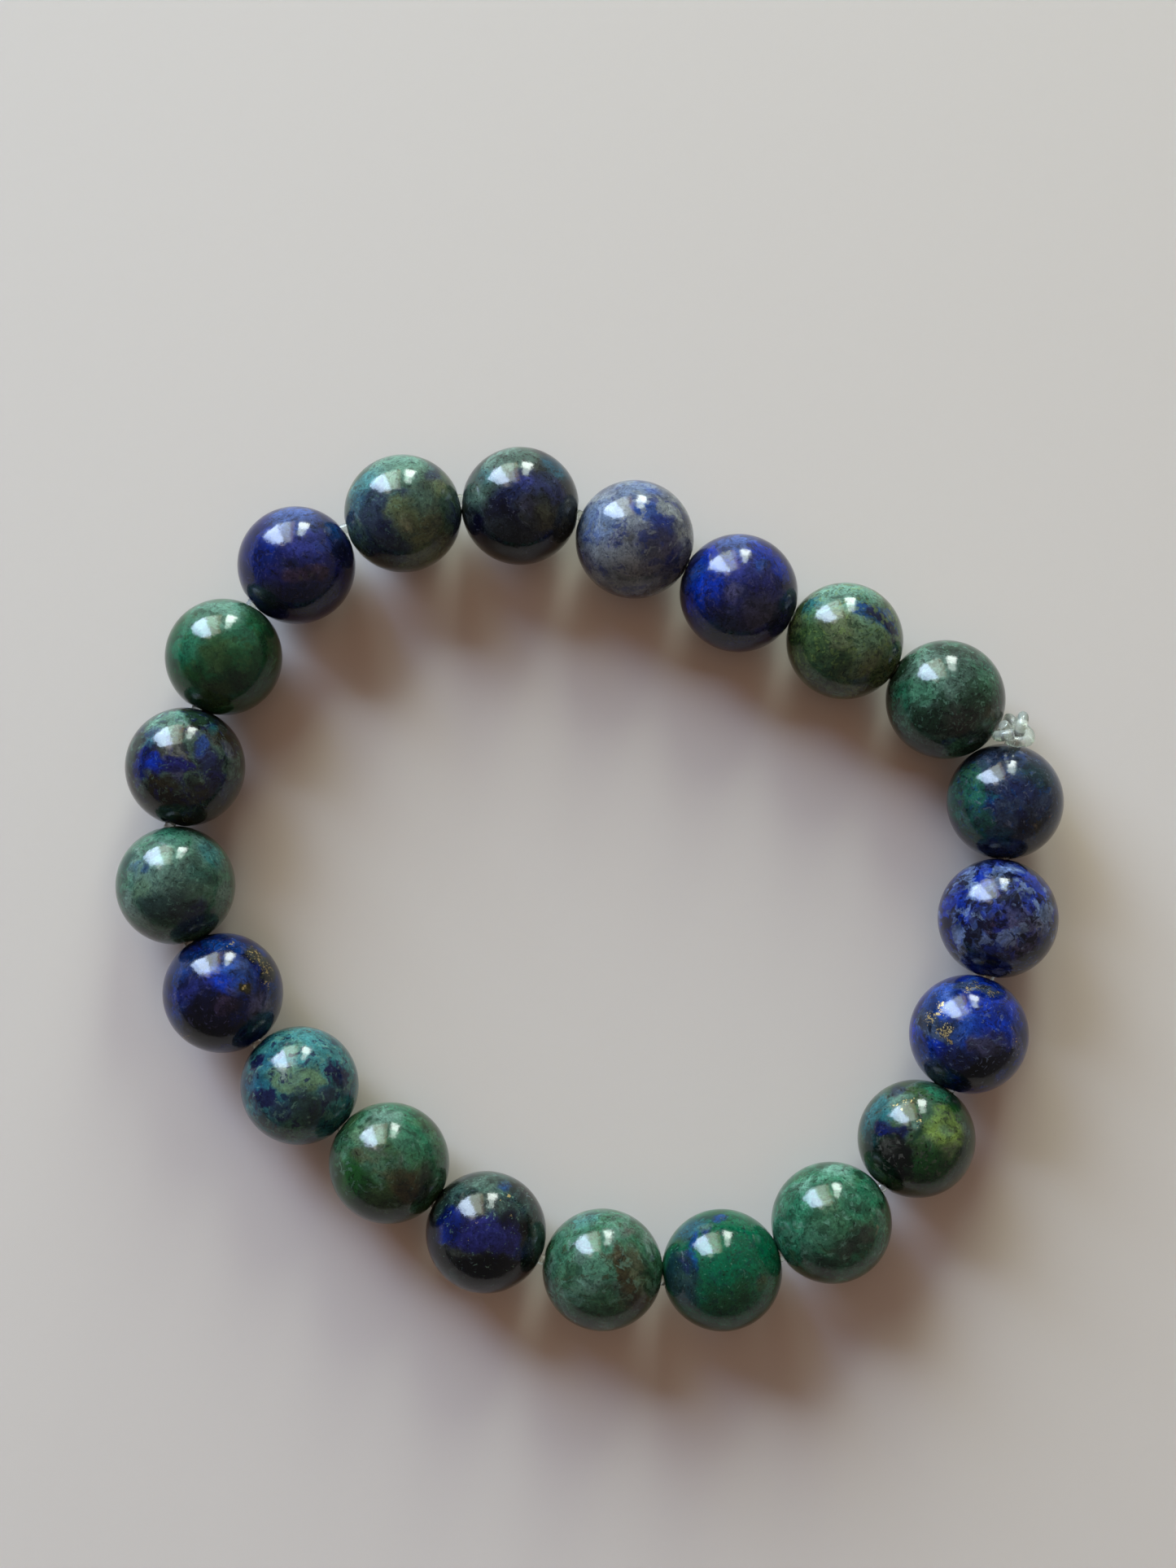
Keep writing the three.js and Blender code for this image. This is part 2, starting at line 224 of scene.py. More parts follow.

# One entry a bead. ground: dark, middle and light tone of its clouds. clouds:
# their scale. mottle: how uneven its tone is. patches: colour, places (x, y) in radii as seen from above, one
# for a round patch and two for a streak, then radius, softness, strength.
# specks: colour, scale, share of the surface, strength. veins: colour, scale,
# width, strength. pyrite: (x, y, radius, share).
# On many beads the pale patch at the top, and on some the one at the upper left, is partly the stone's colour and
# partly painted sheen: the reflection of the bright side beyond the top.
BEADS = [
    dict(ground=("slate", "greygreen", "olive"), clouds=1.7, mottle=0.55,
         # the mint patch at the top and the turquoise one at the upper left: partly stone colour, partly painted sheen
         patches=[("mint", (-.1, .85), .5, .2, .8), ("turquoise", (-.7, .45), .34, .16, .85), ("teal", (-.75, .15), .24, .12, .7),
                  ("slate", (-.48, .2), (-.4, -.42), .28, .14, .9), ("navy", (-.28, -.2), .16, .14, .7), ("slate", (-.12, -.62), .22, .12, .7),
                  ("olive", (.1, .02), .3, .14, .95), ("sand", (.06, -.1), .12, .12, .3), ("greygreen", (.42, .25), .28, .16, .8),
                  ("slate", (.5, .62), .15, .1, .85), ("khaki", (.5, -.1), .22, .14, .5), ("olive", (.42, -.6), .36, .2, .85)],
         specks=[("ink", 12, .12, .5), ("mint", 16, .07, .3), ("pine", 8, .14, .35)]),
    dict(ground=("ink", "graphite", "drab"), clouds=1.7, mottle=0.75,
         # the ash and grey-green patches at the top: partly stone colour, partly painted sheen
         patches=[("greygreen", (-.68, .38), .4, .18, .9), ("lagoon", (-.5, .6), .2, .14, .5), ("ash", (-.2, .85), .4, .14, .8), ("greygreen", (.05, .85), .3, .16, .8),
                  ("teal", (.62, .66), .26, .14, .8), ("dusk", (-.02, .4), (.62, .26), .2, .12, .95), ("violet", (.05, .36), .14, .12, .4),
                  ("slate", (.5, .42), .14, .1, .5), ("navy", (-.2, .16), .24, .14, .85), ("ink", (-.35, -.08), .24, .16, .85),
                  ("heather", (.15, 0), .16, .12, .5), ("khaki", (.45, -.2), .18, .14, .35), ("graphite", (-.4, -.5), .3, .18, .6),
                  ("navy", (.4, -.6), .22, .14, .6)],
         specks=[("black", 12, .14, .6), ("fog", 20, .04, .35)]),
    dict(ground=("slate", "fog", "mist"), clouds=2.4, mottle=0.5,
         # the pale patches at the upper left and at the top: partly stone colour, partly painted sheen
         patches=[("pale", (-.62, .3), .42, .2, .85), ("denim", (-.78, .1), .16, .12, .6), ("mist", (-.5, -.25), .26, .16, .6), ("lilac", (-.3, .02), .18, .12, .5),
                  ("fog", (.02, .05), .26, .14, .8), ("royal", (.12, .5), (.34, .44), .15, .08, 1.0), ("denim", (.3, .42), .14, .1, .6),
                  ("cobalt", (.46, .24), .22, .1, 1.0), ("stone", (-.08, .04), .14, .12, .4), ("heather", (.42, -.02), .24, .14, .8), ("lilac", (.6, -.2), .25, .16, .6),
                  ("mist", (-.2, -.42), .34, .18, .85), ("fog", (.35, -.45), .3, .18, .5), ("pale", (0, .86), .34, .16, .7),
                  ("denim", (.32, .82), .14, .1, .7), ("cobalt", (-.62, -.02), .08, .06, .5)],
         specks=[("cobalt", 5, .14, .6), ("navy", 12, .06, .5), ("mist", 6, .14, .6), ("slate", 15, .08, .4)]),
    dict(ground=("navy", "indigo", "dusk"), clouds=2.0, mottle=0.7,
         patches=[("ultramarine", (-.45, .45), .42, .18, .95), ("royal", (-.68, .25), .3, .16, .7), ("ultramarine", (-.5, .1), .34, .16, .7),
                  # the denim patch at the top: partly stone colour, partly painted sheen
                  ("ultramarine", (-.72, -.1), .34, .14, .9), ("sapphire", (-.55, -.5), .36, .16, .8), ("denim", (0, .86), .34, .18, .85), ("ultramarine", (.36, .66), .26, .12, .8), ("violet", (.05, .38), .26, .14, .85),
                  ("royal", (.3, .45), .12, .08, .7), ("ultramarine", (.68, .44), .24, .12, .9), ("indigo", (.5, .12), .28, .14, .8),
                  ("lilac", (-.02, .04), .14, .1, .7), ("heather", (.4, -.35), .36, .2, .85), ("ink", (-.3, -.3), .2, .14, .5),
                  ("slate", (-.3, -.68), .3, .18, .5)],
         specks=[("ink", 10, .16, .6), ("lilac", 12, .1, .45), ("navy", 6, .14, .4)]),
    dict(ground=("moss", "olive", "sage"), clouds=2.3, mottle=0.6,
         # the mint patch at the top: partly stone colour, partly painted sheen
         patches=[("sage", (.05, -.1), .66, .3, .4), ("mint", (.05, .8), .58, .16, .95), ("jade", (.35, .7), .2, .14, .5), ("lagoon", (-.56, .6), .2, .08, .9),
                  ("jade", (-.55, .38), .2, .12, .5), ("olive", (-.1, .12), .4, .16, .8), ("sage", (.3, .0), (.55, -.2), .22, .14, .6),
                  ("moss", (-.6, -.12), .4, .16, .9), ("moss", (-.1, -.42), .26, .14, .8), ("pine", (-.1, -.3), .1, .08, .5),
                  ("fern", (-.35, -.55), .24, .14, .7), ("olive", (.5, -.42), .26, .16, .6), ("turquoise", (.52, .45), .14, .08, .7),
                  ("azure", (.3, .52), (.8, .26), .17, .07, .9), ("navy", (.44, .5), (.8, .2), .1, .05, 1.0), ("navy", (.8, .2), (.86, -.08), .08, .05, .8)],
         specks=[("pine", 9, .2, .6), ("black", 15, .1, .5), ("lime", 10, .12, .4)]),
    dict(ground=("pine", "greygreen", "jade"), clouds=2.1, mottle=0.75,
         patches=[("malachite", (-.74, .04), .26, .14, .9), ("jade", (-.38, .2), .34, .14, .95), ("ash", (-.3, .6), .3, .16, .7),
                  ("ash", (.05, .22), .2, .14, .4), ("greygreen", (.3, .4), .3, .16, .7), ("bottle", (.72, .55), .2, .14, .7),
                  ("pine", (.52, .02), .26, .16, .7), ("pine", (-.45, -.36), (-.02, -.34), .22, .1, 1.0), ("drab", (.25, -.32), .28, .16, .9),
                  ("greygreen", (-.35, -.68), .24, .14, .7), ("khaki", (.72, -.25), .16, .1, .6), ("orange_dot", (.7, -.42), .024, .016, .7)],
         specks=[("pine", 8, .2, .65), ("black", 13, .12, .5), ("mint", 14, .08, .4)]),
    dict(ground=("navy", "slate", "slate"), clouds=2.6, mottle=0.75,
         patches=[("viridian", (-.78, .1), .56, .07, 1.0), ("bottle", (-.55, -.4), .38, .08, 1.0), ("fern", (-.6, .5), .2, .14, .4),
                  ("teal", (-.28, .12), .13, .05, .95), ("azure", (-.3, .0), .1, .05, .8), ("slate", (.02, .7), .2, .12, .6),
                  ("denim", (.28, .82), .1, .06, .9), ("royal", (-.02, .76), .08, .05, .8), ("deepteal", (.55, .45), .3, .16, .8),
                  ("navy", (.4, .15), .26, .14, .7), ("ink", (.3, -.42), .16, .1, .8), ("teal", (-.12, -.62), .2, .12, .6),
                  ("drab", (.56, -.42), .15, .08, .9), ("sand", (.52, -.38), .05, .04, .5), ("orange_dot", (.75, -.23), .04, .02, 1.0)],
         specks=[("fog", 11, .07, .4), ("ink", 7, .14, .5), ("azure", 9, .08, .5), ("navy", 16, .1, .4)]),
    dict(ground=("indigo", "cobalt", "denim"), clouds=2.4, mottle=1,
         patches=[("ultramarine", (.62, .5), .34, .16, .85), ("ultramarine", (-.75, .05), .34, .16, .85), ("heather", (.1, -.2), .5, .2, .6), ("cobalt", (-.3, .38), (.3, .3), .18, .12, .6),
                  ("pale", (-.1, .62), .14, .08, .6), ("ink", (-.34, .62), .09, .05, .9), ("pale", (.3, .8), .12, .08, .7),
                  ("lilac", (.4, -.28), .42, .2, .8), ("dusk", (-.3, -.1), .26, .16, .7), ("fog", (.66, -.16), .14, .1, .6), ("ink", (-.08, -.38), .15, .08, .95),
                  ("plum", (-.06, -.14), .18, .08, .9), ("ink", (-.28, .0), .09, .06, .8), ("ink", (.72, -.45), .1, .06, .9),
                  ("ink", (.32, .2), .08, .05, .7), ("slate", (-.4, -.55), .3, .18, .6)],
         specks=[("ultramarine", 2.2, .2, .6), ("pale", 3.2, .24, .7), ("ink", 3.2, .26, .9), ("denim", 6, .12, .6), ("ink", 6, .12, .8)]),
    dict(ground=("sapphire", "ultramarine", "royal"), clouds=2.0, mottle=0.9,
         patches=[("ultramarine", (.45, .35), .5, .2, .95), ("royal", (-.5, .58), .4, .18, .8), ("denim", (-.3, .62), .14, .1, .5),
                  ("ultramarine", (-.68, -.25), .34, .16, .6), ("ink", (-.5, -.42), .2, .14, .6), ("slate", (-.78, .22), (-.25, .04), .22, .06, 1.0), ("slate", (-.05, .82), (.42, .7), .15, .07, .9),
                  ("graphite", (.3, .8), .12, .07, .8), ("royal", (.0, .1), .24, .16, .5), ("plum", (.14, -.2), .1, .05, .9),
                  ("heather", (.3, -.26), .26, .12, .9), ("lilac", (.76, -.14), .18, .12, .8), ("navy", (-.15, -.42), .28, .12, .9),
                  ("graphite", (-.6, -.62), .3, .14, .8), ("black", (.22, -.66), .36, .12, .95), ("ink", (.6, -.42), .2, .08, .9), ("marine", (-.84, -.3), .2, .12, .8), ("marine", (-.6, .5), .2, .12, .6)],
         specks=[("ink", 8, .12, .6), ("pale", 13, .05, .4)],
         pyrite=[(-.64, .24, .16, .5), (-.36, .12, .2, .75), (-.46, .4, .16, .5), (-.26, -.08, .12, .7), (.12, .8, .22, .5), (.38, .7, .16, .35), (.7, -.2, .3, .03)]),
    dict(ground=("pine", "moss", "greygreen"), clouds=2.1, mottle=0.65,
         patches=[("lagoon", (-.68, .44), .38, .14, .95), ("ash", (-.3, .66), .2, .12, .8), ("slate", (-.3, .84), .14, .08, .7),
                  ("malachite", (.36, .76), .26, .14, .8), ("ash", (-.06, .22), .1, .07, .8), ("fern", (.3, .42), .26, .14, .6),
                  ("lime", (.52, .14), .36, .16, 1.0), ("sage", (.5, .16), .12, .1, .5), ("leaf", (.72, .42), .16, .1, .7),
                  ("deepteal", (-.74, .05), .24, .12, .8), ("navy", (-.58, .2), (-.24, .12), .15, .06, 1.0), ("sapphire", (-.5, .12), .1, .06, .8), ("ink", (-.3, -.0), .09, .06, .8),
                  ("black", (-.38, -.34), .38, .1, .95), ("stone", (-.42, -.14), .12, .1, .2), ("black", (-.08, -.42), .12, .07, .8),
                  ("forest", (.1, -.45), .16, .12, .6), ("leaf", (.3, -.5), .4, .16, .9), ("olive", (.55, -.22), .14, .1, .6),
                  ("orange_dot", (.72, -.34), .02, .014, .8)],
         specks=[("black", 10, .07, .7), ("stone", 11, .09, .6), ("pine", 5, .08, .4)],
         pyrite=[(-.02, .26, .12, .3), (-.2, .62, .2, .15)]),
    dict(ground=("fern", "malachite", "jade"), clouds=2.6, mottle=0.7,
         # the mint patches at the top and upper left: partly stone colour, partly painted sheen
         patches=[("malachite", (-.6, .4), .42, .2, .8), ("mint", (-.42, .62), .18, .12, .6), ("mint", (.12, .86), .24, .14, .6),
                  ("jade", (-.1, .6), .24, .14, .5), ("malachite", (.45, .4), .34, .18, .6), ("fern", (0, 0), .32, .2, .5),
                  ("sage", (-.08, .24), .12, .1, .4), ("jade", (-.25, -.25), .22, .14, .5), ("drab", (.5, -.24), .22, .12, .85),
                  ("drab", (.2, -.42), .2, .12, .7), ("pine", (-.05, -.68), .2, .12, .7), ("sand", (.72, -.16), .05, .04, .6)],
         specks=[("pine", 5, .14, .6), ("black", 14, .06, .5), ("mint", 7, .1, .4)]),
    dict(ground=("forest", "emerald", "malachite"), clouds=1.7, mottle=0.5,
         patches=[("emerald", (.35, .3), .6, .2, .9), ("teal", (-.52, .66), .3, .16, .75), ("ash", (-.28, .62), .12, .1, .5),
                  ("azure", (-.06, .85), .14, .07, .95), ("azure", (-.52, .42), (-.48, .08), .11, .06, 1.0), ("navy", (-.56, .2), .08, .06, .8), ("cobalt", (-.26, .56), .09, .07, .7), ("malachite", (-.2, .16), .2, .14, .6),
                  ("deepteal", (-.74, -.1), .4, .12, 1.0), ("spruce", (-.7, -.3), .28, .14, .8), ("navy", (-.62, .06), .12, .08, .7), ("deepteal", (-.6, -.42), .2, .12, .7), ("forest", (.15, -.46), .38, .2, .8), ("emerald", (0, 0), .3, .16, .8),
                  ("khaki", (.7, -.2), .14, .1, .5), ("malachite", (.72, .02), .12, .1, .4), ("orange_dot", (.73, -.13), .024, .016, .9)],
         specks=[("deepteal", 8, .12, .5), ("pine", 12, .1, .5), ("black", 16, .05, .5), ("mint", 22, .02, .4)]),
    dict(ground=("fern", "jade", "ash"), clouds=2.4, mottle=0.65,
         patches=[("jade", (-.55, .45), .4, .2, .7), ("ash", (-.28, .22), .18, .12, .7), ("jade", (-.05, .02), .22, .14, .6),
                  ("malachite", (.0, .42), .18, .12, .5), ("turquoise", (-.3, .82), .2, .14, .3), ("stone", (.44, .64), .12, .08, .8),
                  ("khaki", (.5, .1), (.52, -.55), .26, .12, .85), ("pine", (.74, -.1), .16, .12, .7), ("brown", (.26, .3), (.34, -.2), .12, .06, 1.0), ("umber", (.3, .02), .05, .04, .8), ("khaki", (.14, .18), .1, .08, .6),
                  ("brown", (.42, -.22), (.54, -.62), .13, .07, .9), ("umber", (.5, -.66), .12, .07, .8), ("sand", (.24, .22), .04, .04, .5), ("sage", (.7, -.2), .16, .12, .6),
                  ("pine", (.68, .2), .1, .07, .6), ("fern", (-.55, -.12), .24, .12, .8), ("ash", (-.25, -.25), .2, .12, .6), ("pine", (.1, -.35), .14, .12, .5), ("pine", (-.68, .2), .05, .05, .6),
                  ("fern", (-.2, -.6), .36, .2, .7)],
         specks=[("pine", 4.5, .12, .6), ("brown", 11, .05, .6), ("mint", 5, .12, .4), ("pine", 14, .05, .5)], veins=[("umber", 2.2, .016, .7), ("pine", 3.4, .014, .5)]),
    dict(ground=("black", "drab", "spruce"), clouds=1.8, mottle=1,
         # the grey-green and ash patches at the top: partly stone colour, partly painted sheen
         patches=[("greygreen", (0, .84), .4, .18, .85), ("ash", (-.2, .8), .1, .08, .5), ("azure", (.3, .78), .12, .06, .85),
                  ("spruce", (-.45, .6), .28, .14, .8), ("spruce", (.5, .48), .36, .16, .7), ("greygreen", (.28, .42), .1, .08, .5),
                  ("indigo", (-.45, .04), (.4, -.04), .26, .08, .95), ("sapphire", (-.64, .14), .28, .08, 1.0), ("ink", (.45, .18), .18, .1, .8), ("black", (.1, .42), .1, .06, .5),
                  ("indigo", (.3, -.3), .22, .12, .7), ("sapphire", (.55, -.35), .16, .1, .6), ("drab", (-.35, -.42), .2, .12, .7),
                  ("ink", (-.92, -.1), .3, .12, .9), ("black", (0, -.72), .52, .1, 1.0), ("black", (-.68, -.4), .24, .08, 1.0), ("black", (.5, -.7), .22, .08, .9), ("slate", (.74, -.3), .12, .09, .5)],
         specks=[("ash", 15, .02, .8), ("ink", 7, .14, .5), ("fog", 11, .01, .5)],
         pyrite=[(.45, .5, .4, .02), (-.28, .1, .3, .015)]),
    dict(ground=("moss", "fern", "jade"), clouds=2.1, mottle=0.65,
         # the malachite and ash patches at the top: partly stone colour, partly painted sheen
         patches=[("malachite", (0, .8), .46, .2, .8), ("ash", (-.1, .7), .36, .16, .8), ("sage", (-.4, .5), .26, .14, .8), ("pine", (-.3, .74), .07, .05, .7), ("jade", (.2, .45), .26, .16, .6),
                  ("malachite", (.52, .34), .32, .18, .6), ("stone", (-.3, .26), (.1, .02), .1, .1, .5), ("khaki", (-.5, .04), (.3, -.28), .15, .12, .8),
                  ("brown", (.12, -.2), .1, .08, .6), ("fern", (.55, -.08), .2, .14, .6), ("leaf", (-.6, -.4), .42, .14, 1.0), ("pine", (-.1, -.75), .4, .16, .8),
                  ("leaf", (-.4, -.4), .16, .12, .6), ("moss", (-.05, -.6), .32, .18, .8), ("brown", (.3, -.4), .3, .14, .9), ("drab", (.62, -.2), .16, .12, .7),
                  ("drab", (.62, -.48), .16, .12, .7), ("pine", (-.44, .66), .07, .05, .6)],
         specks=[("pine", 5, .14, .55), ("black", 15, .04, .5), ("ash", 9, .07, .4)]),
    dict(ground=("teal", "lagoon", "turquoise"), clouds=2.5, mottle=0.65,
         # the turquoise and mint patches at the top: partly stone colour, partly painted sheen
         patches=[("turquoise", (.05, .78), .56, .16, .95), ("mint", (-.12, .66), .16, .12, .6), ("teal", (-.55, .42), .2, .12, .7),
                  ("sage", (-.34, .12), (.22, .04), .22, .08, 1.0), ("ash", (-.1, .12), .12, .1, .5), ("mist", (-.32, .2), .08, .08, .35), ("navy", (-.12, .43), (.1, .41), .07, .03, .95),
                  ("navy", (-.74, .38), .17, .04, 1.0), ("navy", (-.82, .1), .1, .05, .8), ("navy", (.56, .22), (.74, .14), .15, .04, 1.0), ("slate", (.72, -.04), .16, .1, .8),
                  ("teal", (-.72, .02), .18, .1, .7), ("navy", (-.72, -.24), (-.5, -.22), .15, .05, 1.0), ("navy", (-.1, -.2), .12, .05, .8), ("slate", (.08, -.24), .14, .06, .9),
                  ("slate", (.5, -.22), .16, .08, .8), ("spruce", (.1, -.42), .34, .16, .85), ("slate", (-.3, -.42), .2, .12, .6),
                  ("deepteal", (-.6, -.55), .16, .08, .9), ("jade", (-.05, -.8), .3, .14, .7)],
         specks=[("navy", 5.5, .1, .85), ("slate", 8, .08, .6), ("mint", 8, .1, .45)]),
    dict(ground=("ink", "sapphire", "marine"), clouds=1.9, mottle=1,
         patches=[("royal", (.1, .32), .3, .14, 1.0), ("denim", (.3, .42), .1, .08, .5), ("ultramarine", (-.06, .16), .22, .12, .8),
                  ("marine", (-.6, .34), .34, .14, .95), ("marine", (.6, .72), .2, .12, .7), ("sapphire", (-.8, -.1), .26, .14, .8), ("indigo", (-.45, .02), .3, .16, .7),
                  ("drab", (.46, .64), (.76, .3), .17, .06, 1.0), ("heather", (.12, .04), .12, .08, .5), ("umber", (.3, .1), .12, .05, 1.0),
                  ("dusk", (.55, .02), .16, .1, .6), ("ink", (-.15, -.5), .5, .14, 1.0), ("black", (-.42, -.62), .24, .14, .8), ("plum", (0, -.22), .14, .1, .5), ("sapphire", (.25, -.42), .16, .1, .7),
                  ("lilac", (.6, -.2), .24, .14, .95), ("fog", (.74, -.2), .1, .08, .6), ("slate", (.6, -.52), .24, .14, .7),
                  ("slate", (.2, -.78), .16, .12, .6)],
         specks=[("ink", 9, .14, .6), ("lilac", 12, .08, .4)],
         pyrite=[(.5, .62, .24, .3), (.7, .36, .22, .3), (.76, .14, .16, .26), (.3, .1, .08, .3), (.14, .8, .12, .4), (-.62, -.7, .12, .35)]),
    dict(ground=("greygreen", "jade", "ash"), clouds=1.9, mottle=0.6,
         # the malachite patch at the top and the mint one below it: partly stone colour, partly painted sheen
         patches=[("malachite", (-.1, .86), .3, .16, .5), ("lagoon", (.58, .55), .28, .16, .6), ("bottle", (-.8, .42), .18, .1, .8),
                  ("azure", (-.64, .3), .13, .07, .95), ("teal", (-.54, .42), .12, .07, .8), ("ash", (-.42, .14), .42, .18, .95), ("mint", (-.2, .6), .3, .14, .5),
                  ("sage", (-.6, -.12), .22, .14, .6), ("greygreen", (.2, .1), .36, .2, .8), ("bottle", (.4, .2), .18, .14, .5),
                  ("graphite", (.05, -.15), .16, .12, .3), ("spruce", (-.3, -.36), .3, .14, .85), ("graphite", (.05, -.45), .24, .14, .8), ("slate", (.34, -.42), .18, .1, .9),
                  ("navy", (.3, -.42), .1, .08, .6), ("azure", (-.5, .3), .1, .07, .6), ("slate", (.2, -.7), .28, .16, .7)],
         specks=[("spruce", 8, .16, .5), ("black", 13, .06, .5), ("mint", 12, .07, .35)]),
    dict(ground=("umber", "drab", "greygreen"), clouds=2.0, mottle=0.85,
         # the mint patch at the upper left: partly stone colour, partly painted sheen
         patches=[("mint", (-.3, .8), .34, .14, .8), ("pine", (.25, .84), .26, .12, .8), ("lagoon", (.48, .62), .12, .08, .8),
                  ("teal", (-.58, .44), .2, .12, .7), ("stone", (-.26, .24), (-.02, .22), .13, .08, .9), ("sapphire", (-.72, .06), .26, .06, 1.0),
                  ("indigo", (-.42, .02), (-.02, .0), .16, .06, 1.0), ("ultramarine", (-.5, .03), .16, .08, .8), ("dusk", (.34, .24), .15, .08, .9),
                  ("royal", (.3, .38), .11, .06, .7), ("navy", (.45, -.0), .24, .12, .85), ("indigo", (.52, -.24), .18, .1, .8),
                  ("fog", (.72, .26), .1, .08, .5), ("heather", (-.12, -.2), .12, .08, .7), ("slate", (-.52, -.18), .1, .07, .5),
                  ("umber", (-.4, -.5), .34, .12, 1.0), ("drab", (.12, -.55), .26, .14, .7), ("slate", (.66, -.42), .18, .12, .7)],
         specks=[("ink", 8, .18, .6), ("indigo", 6, .14, .5), ("ash", 13, .06, .4)]),
    dict(ground=("forest", "forest", "fern"), clouds=1.9, mottle=0.5,
         # the mint patch at the top and the jade one at the upper left: partly stone colour, partly painted sheen
         patches=[("drab", (.5, -.1), .3, .2, .5), ("emerald", (-.78, .2), .4, .16, .95), ("malachite", (-.48, .42), .2, .14, .6), ("mint", (-.1, .82), .44, .18, .7), ("jade", (-.45, .6), .3, .14, .7),
                  ("malachite", (.3, .36), .3, .16, .6), ("moss", (.05, .05), .34, .2, .7), ("malachite", (-.6, .3), .34, .16, .7), ("forest", (.42, -.12), .36, .18, .8),
                  ("pine", (.2, -.4), .22, .14, .7), ("leaf", (-.5, -.3), .22, .16, .6), ("moss", (-.2, -.66), .28, .16, .8),
                  ("pine", (.72, .3), .14, .1, .7)],
         specks=[("pine", 5, .14, .5), ("black", 14, .04, .4), ("moss", 6, .14, .4)]),
    dict(ground=("navy", "indigo", "sapphire"), clouds=1.7, mottle=0.65,
         patches=[("sapphire", (-.62, .32), .4, .16, .85), ("ultramarine", (-.5, .4), .2, .14, .5), ("violet", (.16, .4), .34, .16, .85), ("cobalt", (.42, .4), .14, .1, .6),
                  # the denim patch at the top: partly stone colour, partly painted sheen
                  ("denim", (-.1, .84), .4, .18, .9), ("azure", (.58, .64), .18, .12, .6), ("ink", (.74, .3), .16, .1, .7),
                  ("plum", (-.12, -.18), (.38, -.14), .15, .07, 1.0), ("stone", (.2, -.18), .05, .06, .35), ("brown", (0, -.22), .06, .05, .5),
                  ("sapphire", (-.7, -.12), .2, .12, .6), ("graphite", (-.5, -.5), .24, .14, .6), ("navy", (.1, -.55), .34, .18, .7),
                  ("dusk", (.6, -.4), .2, .14, .6)],
         specks=[("ink", 9, .14, .6), ("lilac", 14, .06, .4)]),
]


